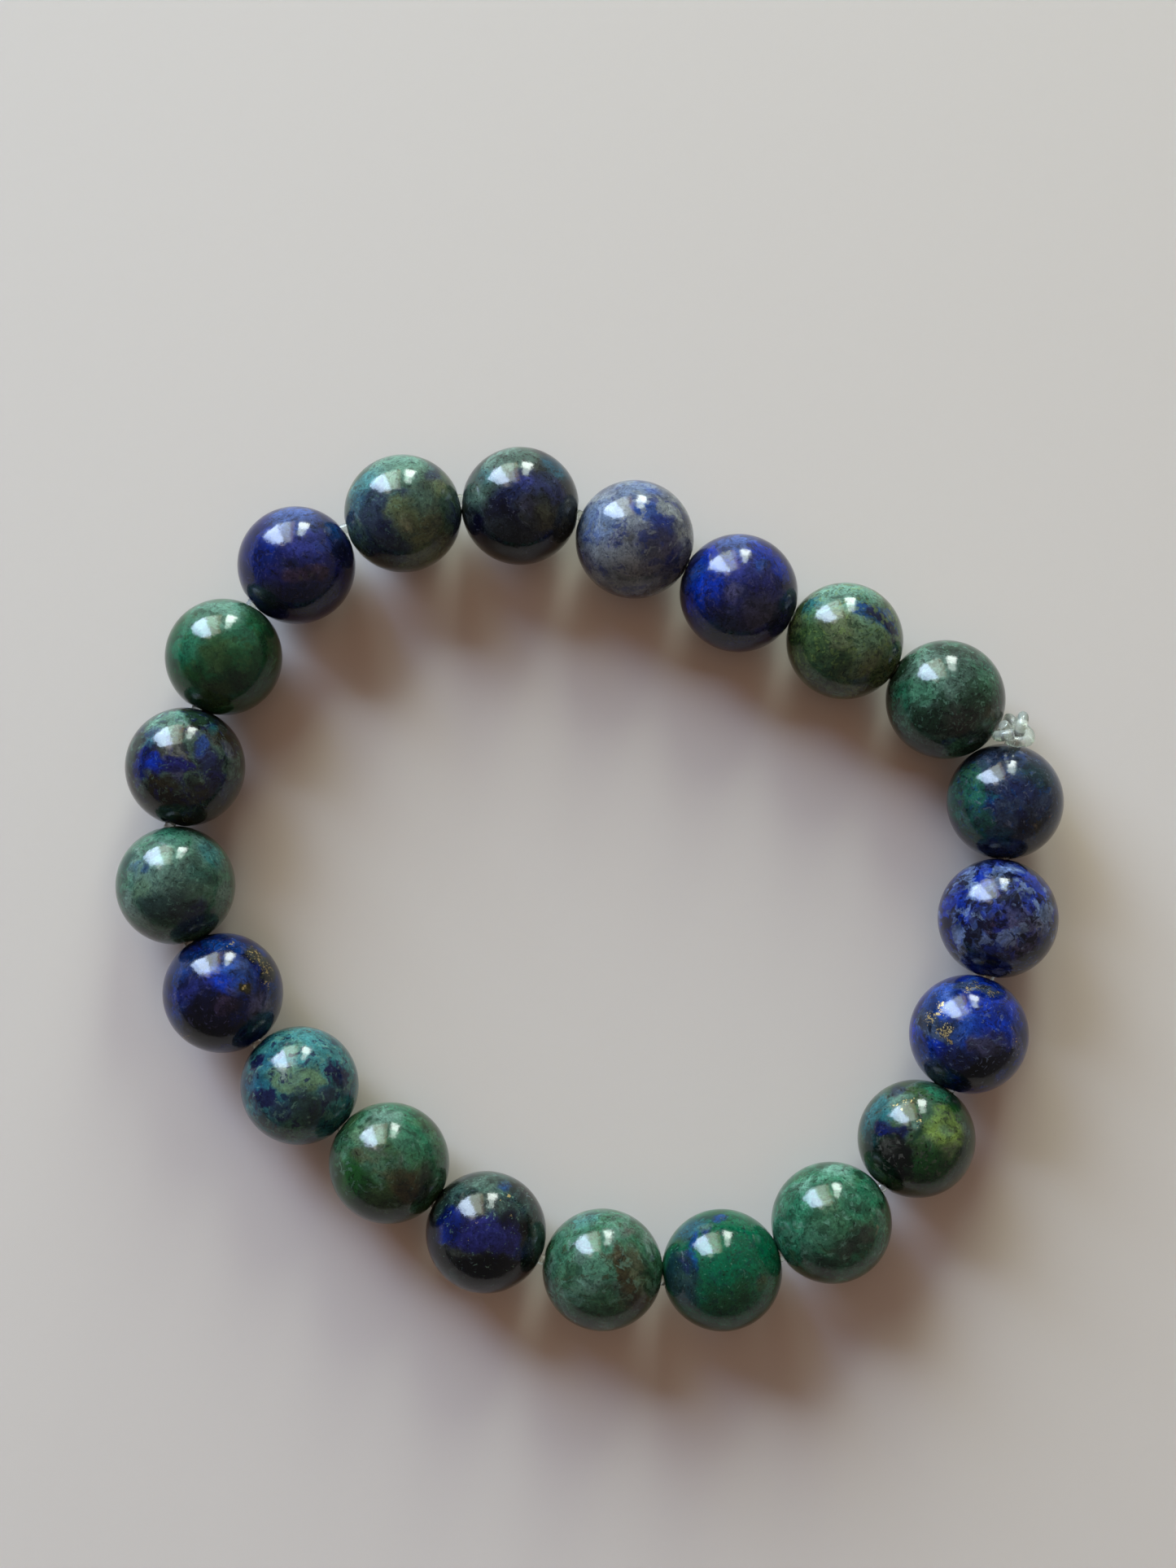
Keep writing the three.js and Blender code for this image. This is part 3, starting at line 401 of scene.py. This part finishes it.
def bead_material(i, spec):
    """Polished stone: soft clouds, ragged patches, specks, veins and metal
    flecks, all laid in the stone's own space."""
    t = Tree(f"stone_{i + 1:02d}")
    rnd = random.Random(100 + i)
    r = radius(i) * MM
    seed = tuple(rnd.uniform(-40, 40) for _ in range(3))
    here = t.node("ShaderNodeTexCoord").outputs["Object"]
    p = t.vec("SCALE", here, scale=1.0 / r)  # the unit ball
    q = t.vec("ADD", p, seed)

    # a slow and a fine bend of space make every edge ragged
    slow = t.vec("SUBTRACT", t.noise(q, 1.7, 3, 0.55, colour=True), (0.5, 0.5, 0.5))
    fine = t.vec("SUBTRACT", t.noise(q, 5.5, 4, 0.55, colour=True), (0.5, 0.5, 0.5))
    swept = t.vec("ADD", p, t.vec("SCALE", slow, scale=0.5))
    bent = t.vec("ADD", swept, t.vec("SCALE", fine, scale=0.28))
    loose = t.vec("ADD", swept, t.vec("SCALE", fine, scale=0.1))
    mottle = spec["mottle"]

    # clouds of the ground colour
    dark, middle, light = (MINERAL[k] for k in spec["ground"])
    cloud = t.noise(t.vec("ADD", loose, seed), spec["clouds"], 5, 0.55, 0.3)
    spread = 0.09 / mottle ** 0.5
    col = t.ramp(cloud, [(0.49 - spread, dark), (0.49, middle), (0.50 + spread, light)])

    def tone(under, noise, lo, hi):
        return t.mix(1.0, under, t.ramp(noise, [(0.33, (lo, lo, lo, 1)), (0.67, (hi, hi, hi, 1))]), "MULTIPLY")

    def patch(colour, a, b, size, soft, strength):
        nonlocal col
        if b is None:
            d = t.vec("DISTANCE", bent, tuple(a))
        else:
            ab = b - a
            along = t.math("MULTIPLY", t.vec("DOT_PRODUCT", t.vec("SUBTRACT", bent, tuple(a)), tuple(ab)), 1 / ab.length_squared, clamp=True)
            foot = t.vec("ADD", t.vec("SCALE", tuple(ab), scale=along), tuple(a))
            d = t.vec("DISTANCE", bent, foot)
        m = t.step(d, max(size - 0.85 * soft, 0.001), size + 0.85 * soft, 1 - 0.6 * (1 - strength), 0.0)
        col = t.mix(m, col, MINERAL[colour])

    # each bead's patches; the pale ones at the top are partly painted sheen
    for entry in spec["patches"]:
        colour, places, (size, soft, strength) = entry[0], entry[1:-3], entry[-3:]
        a = seen(i, *places[0])
        b = seen(i, *places[1]) if len(places) > 1 else None
        patch(colour, a, b, size, soft, strength)
    # the side that faces the floor has patches of the same colours
    names = [e[0] for e in spec["patches"] if e[-3] > 0.05]
    for k in range(7):
        turn = rnd.uniform(0, 2 * math.pi)
        low = rnd.uniform(-1.0, -0.38)
        flat = math.sqrt(1 - low * low)
        patch(rnd.choice(names), Vector((flat * math.cos(turn), flat * math.sin(turn), low)), None, rnd.uniform(0.2, 0.45), rnd.uniform(0.1, 0.2), rnd.uniform(0.6, 0.9))

    # specks: small ragged grains
    for n, (colour, scale, share, strength) in enumerate(spec.get("specks", ())):
        shift = tuple(s + 13.7 * (n + 1) for s in seed)
        g = t.noise(t.vec("ADD", loose, shift), scale, 4, 0.6, 0.2)
        top = 0.5 + 0.07 * NormalDist().inv_cdf(1 - share)
        edge = 0.022 if scale > 6 else 0.034
        col = t.mix(t.step(g, top - edge, top + edge, 0.0, strength), col, MINERAL[colour])
    # veins: thin lines where a slow noise crosses its middle
    for n, (colour, scale, width, strength) in enumerate(spec.get("veins", ())):
        shift = tuple(s - 9.1 * (n + 1) for s in seed)
        v = t.noise(t.vec("ADD", bent, shift), scale, 3, 0.5, 1.2)
        line = t.step(t.math("ABSOLUTE", t.math("SUBTRACT", v, 0.5)), 0.0, width, strength, 0.0)
        gate = t.step(t.noise(t.vec("ADD", p, shift), 2.1, 1), 0.45, 0.6)
        col = t.mix(t.math("MULTIPLY", line, gate), col, MINERAL[colour])
    # fine grain of the stone itself, lighter and darker
    grain = t.noise(q, 24.0, 4, 0.7)
    col = tone(col, grain, 1 - 0.4 * mottle ** 0.5, 1 + 0.45 * mottle ** 0.5)
    for scale, lo, hi in ((5.0, 0.58, 0.5), (2.3, 0.4, 0.4)):
        depth = t.noise(t.vec("ADD", loose, (scale, 3.1, -scale)), scale, 4, 0.55, 0.2)
        col = tone(col, depth, 1 - lo * mottle, 1 + hi * mottle)

    # metal flecks
    metal = None
    if spec.get("pyrite"):
        area = None
        for x, y, size, share in spec["pyrite"]:
            d = t.vec("DISTANCE", bent, tuple(seen(i, x, y)))
            m = t.step(d, size * 0.3, size, share, 0.0)
            area = m if area is None else t.math("MAXIMUM", area, m)
        torn = t.vec("SUBTRACT", t.noise(q, 30.0, 3, 0.6, colour=True), (0.5, 0.5, 0.5))
        cellv = t.vec("ADD", t.vec("ADD", p, t.vec("SCALE", torn, scale=0.09)), seed)
        metal = None
        for scale, gain in ((22.0, 0.8), (38.0, 1.0)):
            near = t.cells(cellv, scale)
            pos = t.cells(cellv, scale, out="Position")
            pick = t.node("ShaderNodeTexWhiteNoise", noise_dimensions="3D")
            t.put(pick.inputs["Vector"], pos)
            grow = t.node("ShaderNodeTexWhiteNoise", noise_dimensions="3D")
            t.put(grow.inputs["Vector"], t.vec("ADD", pos, (3.7, 1.9, 8.3)))
            chosen = t.math("LESS_THAN", pick.outputs["Value"], t.math("MULTIPLY", area, gain))
            reach = t.math("MULTIPLY_ADD", grow.outputs["Value"], 0.35, 0.25)
            flake = t.step(t.math("SUBTRACT", near, reach), -0.06, 0.06, 1.0, 0.0)
            flake = t.math("MULTIPLY", chosen, flake)
            metal = flake if metal is None else t.math("MAXIMUM", metal, flake)
        col = t.mix(metal, col, (0.34, 0.25, 0.10, 1.0))

    shader = t.node("ShaderNodeBsdfPrincipled")
    t.put(shader.inputs["Base Color"], col)
    if metal is not None:
        t.put(shader.inputs["Metallic"], t.math("MULTIPLY", metal, 0.8))
    shader.inputs["IOR"].default_value = 1.4
    # polish: hard grains take a finer polish than soft ones
    rub = t.step(t.noise(q, 15.0, 4, 0.65), 0.3, 0.7, 0.08, 0.16)
    if metal is not None:
        rub = t.math("MAXIMUM", rub, t.math("MULTIPLY", metal, 0.42))
    t.put(shader.inputs["Roughness"], rub)
    # polish waves, grain edges and pits
    wave = t.noise(q, 2.6, 2, 0.5)
    pits = t.step(t.cells(q, 17.0), 0.05, 0.2, 0.0, 1.0)
    gate = t.step(t.noise(q, 3.3, 2), 0.52, 0.62)
    hollow = t.math("MULTIPLY", t.math("SUBTRACT", pits, 1.0), gate)
    h = t.math("ADD", t.math("MULTIPLY", wave, 1.6), t.math("MULTIPLY", grain, 0.16))
    h = t.math("ADD", h, t.math("MULTIPLY", hollow, 0.12))
    h = t.math("ADD", h, t.math("MULTIPLY", t.noise(q, 7.5, 3, 0.55), 1.1))
    bump = t.node("ShaderNodeBump")
    bump.inputs["Strength"].default_value = 1.0
    bump.inputs["Distance"].default_value = 0.012 * MM
    t.put(bump.inputs["Height"], h)
    t.put(shader.inputs["Normal"], bump.outputs["Normal"])
    out = t.node("ShaderNodeOutputMaterial")
    t.nt.links.new(shader.outputs[0], out.inputs["Surface"])
    return t.mat


# ---------------------------------------------------------------------------
# Meshes
# ---------------------------------------------------------------------------
def new_object(name, verts, faces, mat, smooth=True):
    me = bpy.data.meshes.new(name)
    me.from_pydata(verts, [], faces)
    me.update()
    if smooth:
        me.polygons.foreach_set("use_smooth", [True] * len(me.polygons))
    ob = bpy.data.objects.new(name, me)
    ob.data.materials.append(mat)
    bpy.context.scene.collection.objects.link(ob)
    return ob


def make_bead(i):
    """A drilled ball: round outside, a worn and slightly chipped countersink at
    each end, and the hole."""
    r = radius(i)
    rnd = random.Random(500 + i)
    around, rings = 96, 58
    axis = hole_axis(i)
    side = Vector((0, 0, 1)).cross(axis).normalized()
    up = Vector((0, 0, 1))
    mouth = math.asin(MOUTH / r)
    chip = [[rnd.uniform(-1, 1) for _ in range(6)] for _ in range(2)]

    def wobble(end, a):
        c = chip[end]
        return 0.022 * (c[0] * math.cos(2 * a) + c[1] * math.sin(3 * a) + c[2] * math.cos(5 * a + c[3]) + 0.6 * c[4] * math.sin(9 * a + c[5]))

    profile = []  # (distance along the axis, distance from it, end, share of the wobble)
    for k in range(rings + 1):
        ang = mouth + (math.pi - 2 * mouth) * k / rings
        profile.append((-r * math.cos(ang), r * math.sin(ang), 0 if k < rings / 2 else 1, 0.0))
    # the last ring on each side is the mouth's edge: it takes the chips
    lip = r * math.cos(mouth)
    start = [(-lip + 0.012, MOUTH - 0.02, 0, 1.0), (-lip + 0.06, MOUTH - 0.09, 0, 0.7), (-lip + MOUTH_DEPTH, BORE + 0.01, 0, 0.1), (-lip + MOUTH_DEPTH + 0.06, BORE, 0, 0.0)]
    bore = [(-lip + MOUTH_DEPTH + 0.06 + (2 * lip - 2 * MOUTH_DEPTH - 0.12) * k / 6, BORE, 0, 0.0) for k in range(1, 6)]
    end = [(-x, rr, 1, w) for x, rr, _, w in reversed(start)]
    loop = profile + [(x, rr, e, w) for x, rr, e, w in reversed(start + bore + end)]
    n = len(loop)
    verts = []
    for x, rr, e, w in loop:
        for s in range(around):
            a = 2 * math.pi * s / around
            rad = rr + w * wobble(e, a)
            v = axis * x + side * (rad * math.cos(a)) + up * (rad * math.sin(a))
            verts.append(tuple(v * MM))
    faces = []
    for k in range(n):
        k2 = (k + 1) % n
        for s in range(around):
            s2 = (s + 1) % around
            faces.append((k * around + s, k * around + s2, k2 * around + s2, k2 * around + s))
    ob = new_object(f"stone_bead_{i + 1:02d}", verts, faces, bead_material(i, BEADS[i]))
    ob.location = centre(i) * MM
    return ob


# The elastic in the knot (mm, from the point midway between the two stones
# beside it: along the line of their centres, outward, up), as in construction
KNOT_IN = [
    (0.22, 2.09, 3.21), (0.13, 1.83, 3.18), (0.04, 1.59, 3.06), (-0.03, 1.41, 2.85),
    (-0.11, 1.33, 2.6), (-0.16, 1.34, 2.32), (-0.16, 1.45, 2.06), (-0.15, 1.6, 1.82),
    (-0.12, 1.77, 1.59), (-0.09, 1.98, 1.39), (-0.05, 2.2, 1.22), (-0.02, 2.44, 1.06),
    (-0.01, 2.71, 0.93), (0.03, 3, 0.87), (-0.07, 3.28, 0.91), (-0.24, 3.47, 1.07),
    (-0.36, 3.59, 1.32), (-0.41, 3.63, 1.62), (-0.39, 3.58, 1.91), (-0.28, 3.45, 2.17),
    (-0.11, 3.26, 2.33), (0.09, 3.03, 2.38), (0.3, 2.82, 2.31), (0.48, 2.65, 2.13),
    (0.62, 2.57, 1.86), (0.69, 2.59, 1.55), (0.72, 2.64, 1.25), (0.75, 2.69, 0.93),
    (0.68, 2.69, 0.62), (0.62, 2.56, 0.33), (0.74, 2.34, 0.11), (0.99, 2.06, -0.06),
]
KNOT_OUT = [
    (-0.73, 1.85, 0.06), (-0.47, 2.13, 0.11), (-0.36, 2.41, 0.2), (-0.46, 2.67, 0.32),
    (-0.62, 2.85, 0.5), (-0.73, 2.92, 0.78), (-0.73, 2.89, 1.07), (-0.62, 2.87, 1.35),
    (-0.41, 2.87, 1.56), (-0.14, 2.91, 1.65), (0.1, 3.07, 1.62), (0.32, 3.25, 1.63),
    (0.58, 3.33, 1.73), (0.81, 3.32, 1.89), (0.99, 3.22, 2.09), (1.1, 3.07, 2.29),
    (1.13, 2.86, 2.49), (1.07, 2.62, 2.62), (0.95, 2.37, 2.67), (0.81, 2.13, 2.66),
    (0.61, 1.95, 2.57), (0.35, 1.95, 2.46), (0.1, 2.05, 2.45), (-0.17, 2.08, 2.52),
    (-0.42, 2.04, 2.65), (-0.63, 1.95, 2.81),
]


def elastic_route():
    """Points and radius along the elastic, from one trimmed tail to the other."""
    b, a = KNOT_BETWEEN
    p, q = centre(b), centre(a)
    middle = p.lerp(q, 0.5)
    along = Vector((q.x - p.x, q.y - p.y, 0)).normalized()
    outward = Vector((-along.y, along.x, 0))
    if outward.dot(middle) < 0:
        outward.negate()
    place = lambda w: middle + along * w[0] + outward * w[1] + Vector((0, 0, w[2]))
    pts = [(place(w), 0.362) for w in KNOT_IN]
    for k in range(COUNT):
        i = a + k
        c, ax, r = centre(i), hole_axis(i), radius(i)
        for s in (-0.86, -0.5, 0.0, 0.5, 0.86):
            pts.append((c + ax * (r * s), 0.335 if abs(s) < 0.8 else 0.345))
        if k < COUNT - 1:
            d, nx, rn = centre(i + 1), hole_axis(i + 1), radius(i + 1)
            pts.append(((c + ax * (r * 0.985)).lerp(d - nx * (rn * 0.985), 0.5), 0.35))
    pts += [(place(w), 0.362) for w in KNOT_OUT]
    return pts


def smooth_route(pts, per):
    """Catmull-Rom through the points (centripetal), with the radius along."""
    out = []
    n = len(pts)
    for k in range(n - 1):
        p1, r1 = pts[k]
        p2, r2 = pts[k + 1]
        p0 = pts[k - 1][0] if k else p1 * 2 - p2
        p3 = pts[k + 2][0] if k + 2 < n else p2 * 2 - p1
        t0 = 0.0
        t1 = t0 + math.sqrt((p1 - p0).length)
        t2 = t1 + math.sqrt((p2 - p1).length)
        t3 = t2 + math.sqrt((p3 - p2).length)
        steps = max(1, int(round((p2 - p1).length / per)))
        for s in range(steps):
            t = t1 + (t2 - t1) * s / steps
            a1 = p0.lerp(p1, (t - t0) / (t1 - t0))
            a2 = p1.lerp(p2, (t - t1) / (t2 - t1))
            a3 = p2.lerp(p3, (t - t2) / (t3 - t2))
            b1 = a1.lerp(a2, (t - t0) / (t2 - t0))
            b2 = a2.lerp(a3, (t - t1) / (t3 - t1))
            out.append((b1.lerp(b2, (t - t1) / (t2 - t1)), r1 + (r2 - r1) * s / steps))
    out.append(pts[-1])
    return out


def elastic_material():
    t = Tree("clear_elastic")
    here = t.node("ShaderNodeTexCoord").outputs["Object"]
    p = t.vec("SCALE", here, scale=1000.0)
    shader = t.node("ShaderNodeBsdfPrincipled")
    haze = t.noise(p, 1.6, 3, 0.6)
    t.put(shader.inputs["Base Color"], t.ramp(haze, [(0.35, (0.80, 0.86, 0.82, 1)), (0.65, (0.93, 0.96, 0.93, 1))]))
    shader.inputs["Transmission Weight"].default_value = 0.86
    shader.inputs["IOR"].default_value = 1.46
    t.put(shader.inputs["Roughness"], t.step(t.noise(p, 3.0, 3, 0.6), 0.3, 0.7, 0.14, 0.28))
    bump = t.node("ShaderNodeBump")
    bump.inputs["Strength"].default_value = 0.5
    bump.inputs["Distance"].default_value = 0.01 * MM
    t.put(bump.inputs["Height"], t.noise(p, 4.0, 3, 0.6))
    t.put(shader.inputs["Normal"], bump.outputs["Normal"])
    out = t.node("ShaderNodeOutputMaterial")
    t.nt.links.new(shader.outputs[0], out.inputs["Surface"])
    soak = t.node("ShaderNodeVolumeAbsorption")
    soak.inputs["Color"].default_value = (0.70, 0.80, 0.72, 1)
    soak.inputs["Density"].default_value = 500.0
    t.nt.links.new(soak.outputs[0], out.inputs["Volume"])
    return t.mat


def make_elastic():
    route = smooth_route(elastic_route(), 0.11)
    sides = 20
    # carry one frame along the route without twist
    tangents = []
    for k in range(len(route)):
        a = route[max(k - 1, 0)][0]
        b = route[min(k + 1, len(route) - 1)][0]
        tangents.append((b - a).normalized())
    normal = tangents[0].orthogonal().normalized()
    verts = []
    faces = []
    for k, (p, r) in enumerate(route):
        tg = tangents[k]
        normal = (normal - tg * normal.dot(tg)).normalized()
        bi = tg.cross(normal)
        for s in range(sides):
            a = 2 * math.pi * s / sides
            verts.append(tuple((p + (normal * math.cos(a) + bi * math.sin(a)) * r) * MM))
    n = len(route)
    for k in range(n - 1):
        for s in range(sides):
            s2 = (s + 1) % sides
            faces.append((k * sides + s, k * sides + s2, (k + 1) * sides + s2, (k + 1) * sides + s))
    # the tails are snipped: a small rounded rim and a flat cut
    for first in (True, False):
        k = 0 if first else n - 1
        p, r = route[k]
        tg = -tangents[0] if first else tangents[-1]
        ring = [k * sides + s for s in range(sides)]
        for back, shrink in ((0.03, 0.93), (0.045, 0.8), (0.05, 0.4)):
            new = []
            for s in range(sides):
                base = Vector(verts[k * sides + s]) / MM
                v = p + (base - p) * shrink + tg * back
                new.append(len(verts))
                verts.append(tuple(v * MM))
            for s in range(sides):
                s2 = (s + 1) % sides
                f = (ring[s], new[s], new[s2], ring[s2]) if first else (ring[s], ring[s2], new[s2], new[s])
                faces.append(f[::-1] if first else f)
            ring = new
        c = len(verts)
        verts.append(tuple((p + tg * 0.05) * MM))
        for s in range(sides):
            s2 = (s + 1) % sides
            faces.append((ring[s2], ring[s], c) if first else (ring[s], ring[s2], c))
    return new_object("elastic", verts, faces, elastic_material())


for i in range(COUNT):
    bead = make_bead(i)
    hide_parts(f"bead_{i + 1:02d}")
    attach(bead, "root")
elastic = make_elastic()
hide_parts("elastic_cord")
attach(elastic, "root")

# ---------------------------------------------------------------------------
# Floor and light
# ---------------------------------------------------------------------------
t = Tree("floor")
shader = t.node("ShaderNodeBsdfPrincipled")
shader.inputs["Base Color"].default_value = (0.44, 0.405, 0.375, 1)
shader.inputs["Roughness"].default_value = 0.8
shader.inputs["Specular IOR Level"].default_value = 0.1
out = t.node("ShaderNodeOutputMaterial")
t.nt.links.new(shader.outputs[0], out.inputs["Surface"])
s = 0.9
floor = new_object("floor", [(-s, -s, 0), (s, -s, 0), (s, s, 0), (-s, s, 0)], [(0, 1, 2, 3)], t.mat, smooth=False)


def panel(name, at, towards, size, colour, strength):
    """A soft rectangular light; strength is its own brightness."""
    d = bpy.data.lights.new(name, "AREA")
    d.shape = "RECTANGLE"
    d.size, d.size_y = size
    d.color = colour
    d.energy = strength * size[0] * size[1] * math.pi
    o = bpy.data.objects.new(name, d)
    o.matrix_world = Matrix.Translation(Vector(at)) @ (Vector(at) - Vector(towards)).to_track_quat("Z", "Y").to_matrix().to_4x4()
    bpy.context.scene.collection.objects.link(o)
    return o


def window(name, x0, x1, z0, z1, colour, strength, y=0.66):
    """An upright panel beyond the bracelet, given by its edges."""
    x, z = (x0 + x1) / 2, (z0 + z1) / 2
    return panel(name, (x, y, z), (x, 0, z), (x1 - x0, z1 - z0), colour, strength)


COOL = (0.58, 0.74, 1.0)
MINT = (0.9, 1.0, 0.86)
WARM = (1.0, 0.75, 0.45)
LIGHT_MINT = (0.86, 1.0, 0.88)

# what lights the stones and the floor: one tall soft source in two tones on the
# left, a small one on the right and a dim warm strip between them
for key in (
    window("key_left", -0.79, -0.34, 0.06, 0.78, COOL, 24.0),
    window("key_left_dim", -0.34, -0.13, 0.06, 0.78, MINT, 7.2),
    window("key_warm", -0.10, -0.05, 0.06, 0.78, WARM, 3.4),
    window("key_right", 0.02, 0.22, 0.05, 0.50, LIGHT_MINT, 21.0),
):
    key.visible_glossy = False
    key.visible_transmission = False

# what the polish shows of them: the same sources in finer steps
for gleam in (
    window("gleam_left_edge", -0.77, -0.61, 0.09, 0.74, COOL, 20.0, 0.65),
    window("gleam_left", -0.61, -0.32, 0.06, 0.78, (0.64, 0.79, 1.0), 26.5, 0.65),
    window("gleam_left_tail", -0.60, -0.40, 0.78, 1.02, (0.9, 0.85, 0.8), 6.0, 0.65),
    window("gleam_left_dim", -0.32, -0.11, 0.06, 0.78, MINT, 7.8, 0.65),
    window("gleam_warm", -0.10, -0.05, 0.06, 0.78, WARM, 4.0, 0.65),
    window("gleam_right", 0.035, 0.185, 0.05, 0.25, (0.9, 1.0, 0.94), 26.0, 0.65),
    window("gleam_right_low", 0.045, 0.175, 0.25, 0.48, (0.84, 1.0, 0.92), 13.5, 0.65),
):
    gleam.visible_diffuse = False

# a warm fill from above that only lifts the shadows
fill = panel("fill", (0.0, -0.05, 0.6), (0.0, 0.0, 0.0), (0.7, 0.7), (1.0, 0.45, 0.12), 0.55)
fill.visible_glossy = False

# a dim room, a little brighter behind the lights and on the right
world = bpy.data.worlds.new("world")
bpy.context.scene.world = world
world.use_nodes = True
wt = world.node_tree
back = next(n for n in wt.nodes if n.type == "BACKGROUND")
sky = wt.nodes.new("ShaderNodeTexCoord")


def glow(direction, lo, hi, a, b):
    """A colour that grows with the share of a direction in the view."""
    dot = wt.nodes.new("ShaderNodeVectorMath")
    dot.operation = "DOT_PRODUCT"
    dot.inputs[1].default_value = direction
    ramp = wt.nodes.new("ShaderNodeValToRGB")
    ramp.color_ramp.interpolation = "EASE"
    ramp.color_ramp.elements[0].position = lo
    ramp.color_ramp.elements[0].color = a
    ramp.color_ramp.elements[1].position = hi
    ramp.color_ramp.elements[1].color = b
    wt.links.new(sky.outputs["Generated"], dot.inputs[0])
    wt.links.new(dot.outputs["Value"], ramp.inputs[0])
    return ramp.outputs[0]


def add(a, b):
    n = wt.nodes.new("ShaderNodeVectorMath")
    n.operation = "ADD"
    wt.links.new(a, n.inputs[0])
    wt.links.new(b, n.inputs[1])
    return n.outputs[0]


room = glow((0, 0, 1), 0.0, 0.6, (0.14, 0.135, 0.14, 1), (0.165, 0.155, 0.165, 1))
far = glow((0, 1, 0), 0.25, 0.95, (0, 0, 0, 1), (0.285, 0.32, 0.33, 1))
right = glow((1, 0, 0), 0.1, 0.9, (0, 0, 0, 1), (0.10, 0.085, 0.07, 1))
wt.links.new(add(add(room, far), right), back.inputs["Color"])
back.inputs["Strength"].default_value = 1.0
bpy.context.scene.view_settings.view_transform = "Standard"
